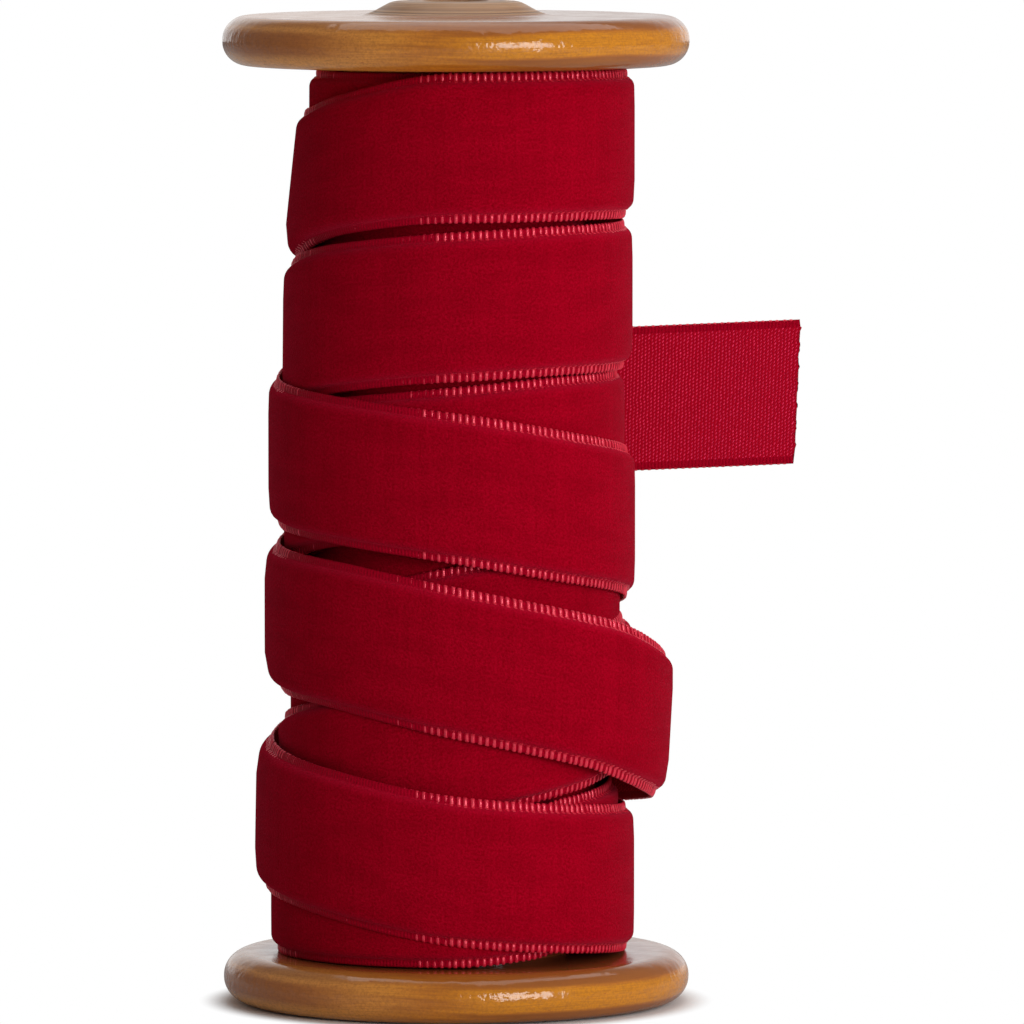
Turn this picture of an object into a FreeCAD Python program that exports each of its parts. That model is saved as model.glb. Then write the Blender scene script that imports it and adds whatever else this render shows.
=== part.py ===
import FreeCAD, Part
import math
import os

import Sketcher
from FreeCAD import Placement, Rotation, Vector

# Velvet ribbon spool: a turned wooden bobbin (two flanges glued on the tenons of a barrel) with
# one long velvet ribbon wound on it in four layers and a short free tail at the back.
# Part frame: millimetres, +Z up along the bobbin's axis, origin at the middle of the base,
# front toward -Y, tail pointing to +X.

os.makedirs("parts", exist_ok=True)
doc = FreeCAD.newDocument("ribbon_spool")

SIZES = [
    ("flange_diameter", 70.0),
    ("flange_thickness", 7.4),
    ("rim_round", 3.6),
    ("winding_height", 133.3),
    ("boss_height", 2.2),
    ("boss_top_diameter", 19.0),
    ("boss_base_diameter", 27.0),
    ("boss_edge_round", 4.0),
    ("boss_flare_round", 7.0),
    ("barrel_diameter", 34.0),
    ("tenon_diameter", 24.0),
    ("tenon_length", 4.8),
    ("socket_diameter", 24.1),
    ("socket_depth", 5.0),
    ("bore_diameter", 10.0),
    ("ribbon_width", 22.0),
    ("ribbon_thickness", 1.5),
    ("tail_reach", 51.8),
    ("tail_gap", 0.3),
    ("tail_depth", 26.1),
    ("tail_height", 87.8),
    ("tail_rise", 0.043),
    ("tape_width", 18.0),
    ("tape_thickness", 0.15),
    ("tape_sweep", 42.0),
]
sheet = doc.addObject("Spreadsheet::Sheet", "Sizes")
for row, (alias, value) in enumerate(SIZES, start=1):
    sheet.set(f"A{row}", alias)
    sheet.set(f"B{row}", str(value))
    sheet.setAlias(f"B{row}", alias)
doc.recompute()


def size(alias):
    """A driving dimension as a plain number."""
    return float(sheet.get(alias))


# --------------------------------------------------------------------------------- wood

def new_body(label, height="0"):
    """An empty body whose placement lifts it to the given height expression."""
    body = doc.addObject("PartDesign::Body", label)
    body.Label = label
    body.setExpression("Placement.Base.z", height)
    return body


def side_sketch(body, name, corners):
    """A closed polygon on the body's XZ plane, every corner tied to the sheet."""
    sketch = body.newObject("Sketcher::SketchObject", name)
    plane = next(f for f in body.Origin.OriginFeatures if f.Role == "XZ_Plane")
    sketch.AttachmentSupport = [(plane, "")]
    sketch.MapMode = "FlatFace"
    points = [Vector(*(evaluate(text) for text in corner), 0) for corner in corners]
    count = len(points)
    for i in range(count):
        sketch.addGeometry(Part.LineSegment(points[i], points[(i + 1) % count]), False)
    for i in range(count):
        sketch.addConstraint(Sketcher.Constraint("Coincident", i, 2, (i + 1) % count, 1))
    for i, corner in enumerate(corners):
        for axis, kind in enumerate(("DistanceX", "DistanceY")):
            value = points[i][axis]
            number = sketch.addConstraint(Sketcher.Constraint(kind, -1, 1, i, 1, value))
            sketch.setExpression(f"Constraints[{number}]", bound(corner[axis]))
    return sketch


def bound(text):
    """A sum of sheet names written for FreeCAD's expression engine."""
    for alias, _ in sorted(SIZES, key=lambda pair: -len(pair[0])):
        text = text.replace(alias, f"<<Sizes>>.{alias}")
    return text


def evaluate(text):
    """The number a sheet expression stands for now."""
    return float(sheet.evalExpression(bound(text)))


def revolve(body, sketch, name, degrees=360.0):
    """Turn a half profile about the vertical sketch axis."""
    turned = body.newObject("PartDesign::Revolution", name)
    turned.Profile = sketch
    turned.ReferenceAxis = (sketch, ["V_Axis"])
    turned.Angle = degrees
    doc.recompute()
    return turned


def circles_at(feature, radius, height):
    """Names of a turned feature's circular edges of one radius at one local height."""
    names = []
    lift = feature.Shape.Placement.Base.z
    for i, edge in enumerate(feature.Shape.Edges, start=1):
        curve = edge.Curve
        if isinstance(curve, Part.Circle) and abs(curve.Radius - radius) < 0.01 \
                and abs(curve.Center.z - lift - height) < 0.01:
            names.append(f"Edge{i}")
    return names


def fillet(body, base, name, edges, radius_name):
    """Round the named edges by a radius from the sheet."""
    rounded = body.newObject("PartDesign::Fillet", name)
    rounded.Base = (base, edges)
    rounded.setExpression("Radius", bound(radius_name))
    doc.recompute()
    return rounded


def make_lower_flange():
    """Flat-based disc with a fully rounded rim and a blind socket in its top face."""
    body = new_body("lower_flange")
    sketch = side_sketch(body, "lower_profile", [
        ("bore_diameter / 2", "0"),
        ("flange_diameter / 2", "0"),
        ("flange_diameter / 2", "flange_thickness"),
        ("socket_diameter / 2", "flange_thickness"),
        ("socket_diameter / 2", "flange_thickness - socket_depth"),
        ("bore_diameter / 2", "flange_thickness - socket_depth"),
    ])
    disc = revolve(body, sketch, "lower_disc")
    rim = size("flange_diameter") / 2
    edges = circles_at(disc, rim, 0) + circles_at(disc, rim, size("flange_thickness"))
    fillet(body, disc, "lower_rim", edges, "rim_round")
    return body


def make_upper_flange():
    """The same disc with a low flared boss on top; the socket opens downward."""
    body = new_body("upper_flange", bound("flange_thickness + winding_height"))
    sketch = side_sketch(body, "upper_profile", [
        ("bore_diameter / 2", "flange_thickness + boss_height"),
        ("boss_top_diameter / 2", "flange_thickness + boss_height"),
        ("boss_base_diameter / 2", "flange_thickness"),
        ("flange_diameter / 2", "flange_thickness"),
        ("flange_diameter / 2", "0"),
        ("socket_diameter / 2", "0"),
        ("socket_diameter / 2", "socket_depth"),
        ("bore_diameter / 2", "socket_depth"),
    ])
    disc = revolve(body, sketch, "upper_disc")
    thick, rim = size("flange_thickness"), size("flange_diameter") / 2
    edges = circles_at(disc, rim, 0) + circles_at(disc, rim, thick)
    rounded = fillet(body, disc, "upper_rim", edges, "rim_round")
    edges = circles_at(rounded, size("boss_base_diameter") / 2, thick)
    rounded = fillet(body, rounded, "boss_flare", edges, "boss_flare_round")
    edges = circles_at(rounded, size("boss_top_diameter") / 2, thick + size("boss_height"))
    fillet(body, rounded, "boss_edge", edges, "boss_edge_round")
    return body


def make_barrel():
    """Turned core between the flanges with a tenon at each end and the bore through it."""
    body = new_body("barrel", bound("flange_thickness"))
    sketch = side_sketch(body, "barrel_profile", [
        ("bore_diameter / 2", "0 - tenon_length"),
        ("tenon_diameter / 2", "0 - tenon_length"),
        ("tenon_diameter / 2", "0"),
        ("barrel_diameter / 2", "0"),
        ("barrel_diameter / 2", "winding_height"),
        ("tenon_diameter / 2", "winding_height"),
        ("tenon_diameter / 2", "winding_height + tenon_length"),
        ("bore_diameter / 2", "winding_height + tenon_length"),
    ])
    revolve(body, sketch, "barrel_turning")
    return body


# ------------------------------------------------------------------------------- ribbon
# The winding is described along its length by the travel angle: 0 is the front (-Y), 90 the
# left side (-X), 180 the back, 270 the right side, and every further 360 is one more turn.
# Each row holds (travel angle, height of the ribbon's middle, radius of its back at the lower
# edge, radius of its back at the upper edge). Angle 0 is the topmost turn facing the front.

FIRST_RADIUS, SECOND_RADIUS, SLACK_RADIUS, THIRD_RADIUS = 17.2, 18.8, 20.6, 20.5
LOWEST, HIGHEST = 19.2, 129.4
SLACK_LOW, SLACK_HIGH, SLACK_RAMP = 28, 104, 22
PITCH = 22.6
RIBBON_START, FIRST_BOTTOM, SECOND_TOP = -3911, -2162, -438
THIRD_BOTTOM, RIBBON_LEAVES = 1665, 3060


def hidden_rows():
    """Rows of the two inner layers: down the barrel, then back up, slack around the middle."""
    rows = []
    top = HIGHEST - 0.4
    for angle in range(RIBBON_START, FIRST_BOTTOM - 30, 45):
        height = top - PITCH * (angle - RIBBON_START) / 360
        rows.append((angle, height, FIRST_RADIUS, FIRST_RADIUS))
    height = top - PITCH * (FIRST_BOTTOM - 18 - RIBBON_START) / 360
    rows.append((FIRST_BOTTOM - 18, height, FIRST_RADIUS, FIRST_RADIUS))
    rows.append((FIRST_BOTTOM + 9, LOWEST, SECOND_RADIUS, SECOND_RADIUS))
    for angle in range(FIRST_BOTTOM + 90, SECOND_TOP - 40, 45):
        height = HIGHEST - PITCH * (SECOND_TOP - angle) / 360
        ramp = min(height - SLACK_LOW, SLACK_HIGH - height) / SLACK_RAMP
        slack = max(0.0, min(1.0, ramp))
        radius = SECOND_RADIUS + slack * (SLACK_RADIUS - SECOND_RADIUS)
        rows.append((angle, height, radius, radius))
    height = HIGHEST - PITCH * 18 / 360
    rows.append((SECOND_TOP - 18, height, SECOND_RADIUS, SECOND_RADIUS))
    rows.append((SECOND_TOP + 9, HIGHEST, THIRD_RADIUS, THIRD_RADIUS))
    return rows


THIRD_LAYER = [
    (-360, 129.2, 20.5, 20.5), (-270, 129.0, 20.5, 20.5), (-160, 129.0, 20.5, 20.5),
    (-135, 129.0, 22.1, 22.1), (-112.5, 129.0, 23.0, 23.0), (-90, 129.0, 25.3, 25.3),
    (-45, 129.3, 25.2, 25.2), (0, 129.2, 24.9, 24.7), (45, 126.5, 24.5, 23.6),
    (67.5, 124.5, 24.5, 22.8), (90, 122.3, 24.6, 22.2), (135, 118.8, 24.2, 22.9),
    (180, 114.8, 24.4, 23.8), (225, 109.5, 25.0, 25.0), (270, 106.4, 25.0, 25.0),
    (315, 106.4, 24.8, 24.8), (360, 105.7, 24.7, 24.7), (405, 103.7, 24.7, 24.5),
    (450, 99.8, 24.6, 24.4), (495, 96.0, 24.5, 24.5), (540, 91.9, 24.3, 24.3),
    (585, 86.9, 24.0, 24.0), (630, 84.2, 23.8, 23.8), (675, 84.0, 23.6, 23.6),
    (720, 82.7, 23.6, 23.6), (765, 80.8, 24.1, 24.1), (810, 77.3, 24.4, 24.4),
    (855, 73.3, 24.0, 24.0), (900, 69.0, 23.1, 23.1), (945, 63.9, 23.1, 23.1),
    (990, 61.2, 23.1, 23.1), (1035, 58.9, 23.0, 23.0), (1080, 55.9, 22.9, 22.9),
    (1125, 52.0, 22.9, 22.9), (1170, 49.3, 23.4, 23.4), (1215, 48.0, 23.1, 23.1),
    (1260, 46.7, 25.0, 25.0), (1305, 46.8, 25.1, 25.1), (1350, 47.4, 25.1, 25.1),
    (1395, 44.3, 24.8, 24.8), (1440, 40.7, 24.6, 24.6), (1485, 36.2, 24.5, 24.8),
    (1530, 31.8, 24.4, 25.4), (1575, 26.1, 24.2, 24.8), (1620, 23.7, 23.9, 23.9),
]
OUTER_LAYER = [
    (1665, 23.3, 23.2, 23.2), (1710, 22.5, 22.9, 22.9), (1755, 21.2, 24.2, 24.2),
    (1777.5, 19.5, 25.4, 25.4), (1800, 18.8, 26.2, 26.2), (1845, 18.6, 26.3, 26.3),
    (1890, 18.5, 26.4, 26.4), (1935, 18.5, 26.2, 26.2), (1980, 18.5, 25.9, 25.9),
    (2025, 18.5, 25.5, 25.5), (2070, 18.8, 25.3, 25.3), (2115, 20.2, 26.9, 26.9),
    (2160, 22.2, 27.9, 27.9), (2205, 25.9, 28.4, 28.5), (2250, 28.7, 28.9, 28.5),
    (2295, 31.8, 28.8, 28.8), (2340, 35.3, 28.8, 28.8), (2385, 38.8, 29.4, 29.6),
    (2430, 41.5, 30.2, 31.4), (2475, 48.2, 29.0, 29.5), (2520, 53.1, 27.2, 27.2),
    (2565, 56.8, 27.1, 27.1), (2610, 58.1, 27.3, 27.3), (2655, 61.0, 27.2, 27.2),
    (2700, 64.3, 26.9, 26.9), (2722.5, 65.7, 26.8, 26.8), (2745, 68.0, 26.7, 26.7),
    (2767.5, 70.4, 26.5, 26.5), (2790, 72.1, 25.4, 25.4), (2835, 75.3, 25.7, 25.7),
    (2880, 78.9, 26.0, 26.0), (2925, 81.3, 26.5, 26.5), (2970, 82.9, 26.7, 26.7),
    (3015, 86.0, 26.5, 26.5), (3060, 87.8, 26.1, 26.1),
]

# Where its edges curl, the ribbon spans less than its full width: {travel angle: millimetres lost
# from the half width}; at every other row nothing is lost.
CURLED = {45: 0.7, 67.5: 0.8, 2430: 0.3}


def slopes(angles, values):
    """Tangents of a curve through the rows that never overshoots between them."""
    steps = [b - a for a, b in zip(angles, angles[1:])]
    rises = [(b - a) / d for a, b, d in zip(values, values[1:], steps)]
    result = [rises[0]]
    for left, right, before, after in zip(rises, rises[1:], steps, steps[1:]):
        if left * right <= 0:
            result.append(0.0)
        else:
            first, second = 2 * after + before, after + 2 * before
            result.append((first + second) / (first / left + second / right))
    return result + [rises[-1]]


class Winding:
    """Smooth height, two radii and loss of half width of the ribbon at any travel angle."""

    def __init__(self, rows):
        self.angles = [row[0] for row in rows]
        self.columns = [[row[i] for row in rows] for i in (1, 2, 3)]
        self.columns.append([CURLED.get(angle, 0.0) for angle in self.angles])
        self.tangents = [slopes(self.angles, column) for column in self.columns]

    def at(self, angle):
        i = 0
        while i < len(self.angles) - 2 and angle > self.angles[i + 1]:
            i += 1
        step = self.angles[i + 1] - self.angles[i]
        u = (angle - self.angles[i]) / step
        values = []
        for column, tangent in zip(self.columns, self.tangents):
            values.append((1 + 2 * u) * (1 - u) ** 2 * column[i]
                          + u * (1 - u) ** 2 * step * tangent[i]
                          + u * u * (3 - 2 * u) * column[i + 1]
                          + u * u * (u - 1) * step * tangent[i + 1])
        return values


winding = Winding(hidden_rows() + THIRD_LAYER + OUTER_LAYER)


def ribbon_section(angle):
    """The ribbon's cross-section as a closed wire in the radial plane at one travel angle."""
    height, lower, upper, loss = winding.at(angle)
    ahead, behind = winding.at(angle + 0.5)[0], winding.at(angle - 0.5)[0]
    climb = math.degrees(ahead - behind) / ((lower + upper) / 2)
    half_width = size("ribbon_width") / 2 - loss
    lean = (upper - lower) / 2
    half = math.sqrt(half_width ** 2 * (1 + climb ** 2) - lean ** 2)
    thick = size("ribbon_thickness")
    turn = math.radians(angle)
    outward = Vector(-math.sin(turn), -math.cos(turn), 0)
    corners = [(lower, -half), (upper, half), (upper + thick, half), (lower + thick, -half)]
    points = [outward * radius + Vector(0, 0, height + rise) for radius, rise in corners]
    return Part.makePolygon(points + points[:1])


def make_ribbon_length(label, start, end):
    """One layer of the winding, lofted smoothly through radial sections."""
    count = math.ceil((end - start) / 10)
    sections = [ribbon_section(start + (end - start) * i / count) for i in range(count + 1)]
    feature = doc.addObject("Part::Feature", label)
    feature.Label = label
    feature.Shape = Part.makeLoft(sections, True, False, False, 3)
    feature.Placement = Placement()
    return feature


def make_ribbon_tail():
    """The free end: a flat strip leaving the back of the winding toward +X, rising a little."""
    body = new_body("ribbon_tail")
    body.setExpression("Placement.Base.y", bound("tail_depth + ribbon_thickness"))
    body.setExpression("Placement.Base.z", bound("tail_height"))
    tip = "tail_reach {} ribbon_width / 2 * tail_rise"
    edge = "tail_rise * ({}) {} ribbon_width / 2"
    sketch = side_sketch(body, "tail_outline", [
        ("tail_gap", edge.format("tail_gap", "-")),
        (tip.format("-"), edge.format("tail_reach", "-")),
        (tip.format("+"), edge.format("tail_reach", "+")),
        ("tail_gap", edge.format("tail_gap", "+")),
    ])
    pad = body.newObject("PartDesign::Pad", "tail_strip")
    pad.Profile = sketch
    pad.setExpression("Length", bound("ribbon_thickness"))
    doc.recompute()
    return body


def make_start_tape():
    """Thin double-sided tape between the barrel and the ribbon's inner end."""
    body = new_body("ribbon_start_tape", bound(f"{HIGHEST - 0.4} - tape_width / 2"))
    inner = "barrel_diameter / 2"
    sketch = side_sketch(body, "tape_profile", [
        (inner, "0"),
        (f"{inner} + tape_thickness", "0"),
        (f"{inner} + tape_thickness", "tape_width"),
        (inner, "tape_width"),
    ])
    turned = revolve(body, sketch, "tape_arc")
    turned.setExpression("Angle", bound("tape_sweep"))
    facing = -90 - RIBBON_START - size("tape_sweep") - 3
    body.Placement = Placement(body.Placement.Base, Rotation(Vector(0, 0, 1), facing))
    doc.recompute()
    return body


# ------------------------------------------------------------------------------- export

parts = [
    make_lower_flange(),
    make_upper_flange(),
    make_barrel(),
    make_start_tape(),
    make_ribbon_length("ribbon_layer_1", RIBBON_START, FIRST_BOTTOM),
    make_ribbon_length("ribbon_layer_2", FIRST_BOTTOM, SECOND_TOP),
    make_ribbon_length("ribbon_layer_3", SECOND_TOP, THIRD_BOTTOM),
    make_ribbon_length("ribbon_layer_4", THIRD_BOTTOM, RIBBON_LEAVES),
    make_ribbon_tail(),
]
doc.recompute()

for item in doc.Objects:
    troubles = [state for state in item.State if state in ("Invalid", "Error")]
    if troubles:
        raise RuntimeError(f"{item.Name}: {troubles}")
for part in parts:
    shape = part.Shape
    if shape.isNull() or not shape.isValid() or shape.Volume <= 0:
        raise RuntimeError(f"{part.Label}: bad shape")
    shape.exportStep(f"parts/{part.Label}.step")
    box = shape.BoundBox
    print(f"{part.Label}: {shape.Volume:.1f} mm3, z {box.ZMin:.2f} to {box.ZMax:.2f}, "
          f"x {box.XMin:.2f} to {box.XMax:.2f}, y {box.YMin:.2f} to {box.YMax:.2f}, "
          f"solids {len(shape.Solids)}")
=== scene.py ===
import math

import bpy
import numpy as np
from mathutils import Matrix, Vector


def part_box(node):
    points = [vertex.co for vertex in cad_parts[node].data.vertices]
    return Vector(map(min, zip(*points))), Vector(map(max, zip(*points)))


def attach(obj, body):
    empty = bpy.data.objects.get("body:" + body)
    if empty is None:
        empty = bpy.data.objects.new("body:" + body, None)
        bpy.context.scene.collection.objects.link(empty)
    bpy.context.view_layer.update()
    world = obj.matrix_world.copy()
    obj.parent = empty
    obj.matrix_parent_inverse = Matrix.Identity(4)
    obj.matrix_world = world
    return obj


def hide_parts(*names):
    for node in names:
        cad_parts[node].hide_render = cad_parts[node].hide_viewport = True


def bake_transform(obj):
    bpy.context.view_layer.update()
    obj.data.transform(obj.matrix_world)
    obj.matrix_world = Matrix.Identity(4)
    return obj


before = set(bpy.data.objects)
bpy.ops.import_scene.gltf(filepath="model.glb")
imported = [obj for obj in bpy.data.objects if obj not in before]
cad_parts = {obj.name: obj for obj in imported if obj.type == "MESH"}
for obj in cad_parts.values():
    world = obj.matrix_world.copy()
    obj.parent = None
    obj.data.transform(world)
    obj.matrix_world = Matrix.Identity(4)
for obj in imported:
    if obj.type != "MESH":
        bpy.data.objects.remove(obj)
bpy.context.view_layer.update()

# A wooden spool standing upright, wound with loose layers of red velvet ribbon. The wood keeps its
# CAD shape and gets its material; every length of ribbon and the starting tape get a finer mesh.
# The scene is in metres, the ribbon's and the wood's own measures are in millimetres.

MM = 0.001
RIBBON_MAP = "ribbon"
WHITE = (1.0, 1.0, 1.0)


# ----------------------------------------------------------------------------- node graphs

class Graph:
    """Short calls that build the nodes of a material or of the world."""

    def __init__(self, owner):
        owner.use_nodes = True
        self.owner = owner
        self.nodes, self.links = owner.node_tree.nodes, owner.node_tree.links

    @property
    def shader(self):
        return self.nodes["Principled BSDF"]

    def put(self, socket, value):
        """Link another node's output to the socket, or set its number, vector or RGB colour."""
        if isinstance(value, bpy.types.NodeSocket):
            self.links.new(value, socket)
        elif socket.type == "RGBA":
            socket.default_value = (*value, 1.0)
        else:
            socket.default_value = value

    def feed(self, name, value):
        """Link or set one of the Principled shader's own sockets."""
        self.put(self.shader.inputs[name], value)

    def math(self, operation, *values, clamp=False):
        node = self.nodes.new("ShaderNodeMath")
        node.operation = operation
        node.use_clamp = clamp
        for socket, value in zip(node.inputs, values):
            self.put(socket, value)
        return node.outputs[0]

    def plus(self, first, second):
        return self.math("ADD", first, second)

    def minus(self, first, second):
        return self.math("SUBTRACT", first, second)

    def times(self, first, *others):
        for other in others:
            first = self.math("MULTIPLY", first, other)
        return first

    def radius(self, x, y):
        """Distance from the Z axis."""
        return self.math("SQRT", self.plus(self.times(x, x), self.times(y, y)))

    def seen_directly(self):
        """1 where the camera sees the surface or the world itself, 0 for its light."""
        return self.nodes.new("ShaderNodeLightPath").outputs["Is Camera Ray"]

    def object_place(self):
        """Position in metres."""
        return self.nodes.new("ShaderNodeTexCoord").outputs["Object"]

    def ribbon_place(self):
        """Position on the ribbon in millimetres: along it, then round its section."""
        node = self.nodes.new("ShaderNodeUVMap")
        node.uv_map = RIBBON_MAP
        return node.outputs[0]

    def split(self, vector):
        node = self.nodes.new("ShaderNodeSeparateXYZ")
        self.put(node.inputs[0], vector)
        return node.outputs[0], node.outputs[1], node.outputs[2]

    def join(self, x, y, z):
        node = self.nodes.new("ShaderNodeCombineXYZ")
        for socket, value in zip(node.inputs, (x, y, z)):
            self.put(socket, value)
        return node.outputs[0]

    def scaled(self, vector, scale, shift=(0, 0, 0)):
        node = self.nodes.new("ShaderNodeMapping")
        for name, value in (("Vector", vector), ("Scale", scale), ("Location", shift)):
            self.put(node.inputs[name], value)
        return node.outputs[0]

    def noise(self, vector, scale=1.0, detail=2.0, roughness=0.5):
        node = self.nodes.new("ShaderNodeTexNoise")
        for name, value in (("Vector", vector), ("Scale", scale), ("Detail", detail),
                            ("Roughness", roughness)):
            self.put(node.inputs[name], value)
        return node.outputs[0]

    def remap(self, value, low, high, to_low=0.0, to_high=1.0):
        """Ease from one number to another while the value goes from low to high."""
        node = self.nodes.new("ShaderNodeMapRange")
        node.interpolation_type = "SMOOTHSTEP"
        for socket, number in zip(node.inputs, (value, low, high, to_low, to_high)):
            self.put(socket, number)
        return node.outputs[0]

    def remap_mm(self, place, low, high, to_low=0.0, to_high=1.0):
        """The same for a place in metres between two places in millimetres."""
        return self.remap(place, low * MM, high * MM, to_low, to_high)

    def mix_colour(self, amount, first, second):
        node = self.nodes.new("ShaderNodeMix")
        node.data_type = "RGBA"
        self.put(node.inputs[0], amount)
        self.put(node.inputs[6], first)
        self.put(node.inputs[7], second)
        return node.outputs[2]

    def ramp(self, value, stops):
        node = self.nodes.new("ShaderNodeValToRGB")
        self.put(node.inputs[0], value)
        ramp = node.color_ramp
        while len(ramp.elements) < len(stops):
            ramp.elements.new(0.5)
        for element, (position, colour) in zip(ramp.elements, stops):
            element.position = position
            element.color = (*colour, 1.0)
        return node.outputs[0]

    def bump(self, height, distance, normal=None):
        node = self.nodes.new("ShaderNodeBump")
        node.inputs["Strength"].default_value = 1.0
        node.inputs["Distance"].default_value = distance
        self.put(node.inputs["Height"], height)
        if normal is not None:
            self.put(node.inputs["Normal"], normal)
        return node.outputs[0]


# ------------------------------------------------------------------------ camera and light

CAMERA_PLACE, CAMERA_AIM = (0.0084, -1.650, 0.1956), (0.0084, 0.0, 0.07355)
CAMERA_LENS, CAMERA_SENSOR = 387.2, 36.0
SPOOL_MIDDLE = Vector((0.0, 0.0, 0.08))

# The studio behind the spool is at full strength within about 11 degrees of straight back and
# fades to the dim surround at about 46 degrees; the numbers are cosines of those angles.
SWEEP_EDGE, SWEEP_FULL, SURROUND = 0.70, 0.98, 0.22

# To the camera the floor shows shading up to FLOOR_SHADED from the axis and is white from
# FLOOR_WHITE outward, so that only a contact shadow stays.
FLOOR_HALF, FLOOR_DROP = 4.0, 0.0002
FLOOR_SHADED, FLOOR_WHITE = 0.0342, 0.0390


def look_at(thing, target):
    """Turn a camera or light so that it faces the target."""
    thing.rotation_euler = (Vector(target) - thing.location).to_track_quat("-Z", "Y").to_euler()


def make_camera():
    """Long lens a little above the spool, looking slightly down at its middle."""
    data = bpy.data.cameras.new("camera")
    data.sensor_width = CAMERA_SENSOR
    data.lens = CAMERA_LENS
    data.clip_start, data.clip_end = 0.05, 30.0
    camera = bpy.data.objects.new("camera", data)
    bpy.context.scene.collection.objects.link(camera)
    camera.location = CAMERA_PLACE
    look_at(camera, CAMERA_AIM)
    bpy.context.scene.camera = camera


def around(azimuth, elevation, distance):
    """A point seen from the spool's middle; azimuth 0 is the front, 90 the right."""
    turn, lift = math.radians(azimuth), math.radians(elevation)
    return SPOOL_MIDDLE + distance * Vector((math.sin(turn) * math.cos(lift),
                                             -math.cos(turn) * math.cos(lift), math.sin(lift)))


def softbox(name, place, target, width, height, radiance):
    """A rectangular light whose face gives the stated radiance."""
    data = bpy.data.lights.new(name, "AREA")
    data.shape = "RECTANGLE"
    data.size, data.size_y = width, height
    data.energy = radiance * width * height * math.pi
    light = bpy.data.objects.new(name, data)
    bpy.context.scene.collection.objects.link(light)
    light.location = place
    look_at(light, target)
    return light


def make_lights():
    """Key from the front right, a broad soft side light and a wide one above the floor behind."""
    softbox("key", around(33, 8, 1.0), SPOOL_MIDDLE, 0.56, 0.38, radiance=7.5)
    side = softbox("side", around(84, 20, 1.2), SPOOL_MIDDLE, 1.2, 1.2, radiance=1.10)
    side.visible_glossy = False
    softbox("top", (0.1, 0.55, 1.6), (0.0, 0.35, 0.0), 1.6, 1.6, radiance=1.3)


def make_world():
    """Dim studio all round with a bright sweep behind the spool; plain white to the camera."""
    world = bpy.data.worlds.new("studio")
    bpy.context.scene.world = world
    graph = Graph(world)
    graph.nodes.clear()
    direction = graph.nodes.new("ShaderNodeTexCoord").outputs["Generated"]
    sweep = graph.remap(graph.split(direction)[1], SWEEP_EDGE, SWEEP_FULL, SURROUND, 1.0)
    back = graph.nodes.new("ShaderNodeBackground")
    graph.put(back.inputs["Color"], WHITE)
    graph.put(back.inputs["Strength"], graph.math("MAXIMUM", sweep, graph.seen_directly()))
    out = graph.nodes.new("ShaderNodeOutputWorld")
    graph.put(out.inputs["Surface"], back.outputs[0])


def make_floor():
    """A wide pale floor that melts into the white studio a little way from the spool."""
    graph = Graph(bpy.data.materials.new("pale_floor"))
    seen = graph.seen_directly()
    x, y, _ = graph.split(graph.object_place())
    fade = graph.times(graph.remap(graph.radius(x, y), FLOOR_SHADED, FLOOR_WHITE), seen)
    graph.feed("Base Color", graph.mix_colour(seen, (0.6, 0.6, 0.6), (0.97, 0.97, 0.97)))
    graph.feed("Roughness", 0.9)
    graph.feed("Specular IOR Level", 0.0)
    glow = graph.nodes.new("ShaderNodeEmission")
    graph.put(glow.inputs["Color"], WHITE)
    blend = graph.nodes.new("ShaderNodeMixShader")
    for socket, source in zip(blend.inputs, (fade, graph.shader.outputs[0], glow.outputs[0])):
        graph.put(socket, source)
    graph.put(graph.nodes["Material Output"].inputs["Surface"], blend.outputs[0])

    data = bpy.data.meshes.new("floor")
    corners = [(-1, -1), (1, -1), (1, 1), (-1, 1)]
    data.from_pydata([(FLOOR_HALF * x, FLOOR_HALF * y, 0) for x, y in corners], [], [(0, 1, 2, 3)])
    data.materials.append(graph.owner)
    floor = bpy.data.objects.new("floor", data)
    floor.location.z = -FLOOR_DROP
    bpy.context.scene.collection.objects.link(floor)


# ------------------------------------------------------------------------------- materials

HONEY_DARK, HONEY, HONEY_LIGHT = (0.42, 0.125, 0.013), (0.56, 0.180, 0.014), (0.66, 0.235, 0.017)
# The yellow on the next line is the colour of a painted highlight on the rims.
YELLOW, BROWN, HEART = (0.70, 0.262, 0.008), (0.30, 0.090, 0.018), (0.38, 0.095, 0.018)
# Colours of painted light: a paler left side, and a shadow with a red reflection of the ribbon on
# the lower disc.
PAINTED_PALE_LEFT, RIBBON_SHADE_AND_REFLECTION = (0.95, 0.410, 0.085), (0.26, 0.045, 0.018)
WORN = [(0.35, (0.20, 0.085, 0.025)), (0.52, (0.44, 0.220, 0.090)), (0.68, (0.62, 0.370, 0.180))]

DISC_HALF, DISC_RADIUS, BOSS_RISE = 3.7, 35.0, 2.2


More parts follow.
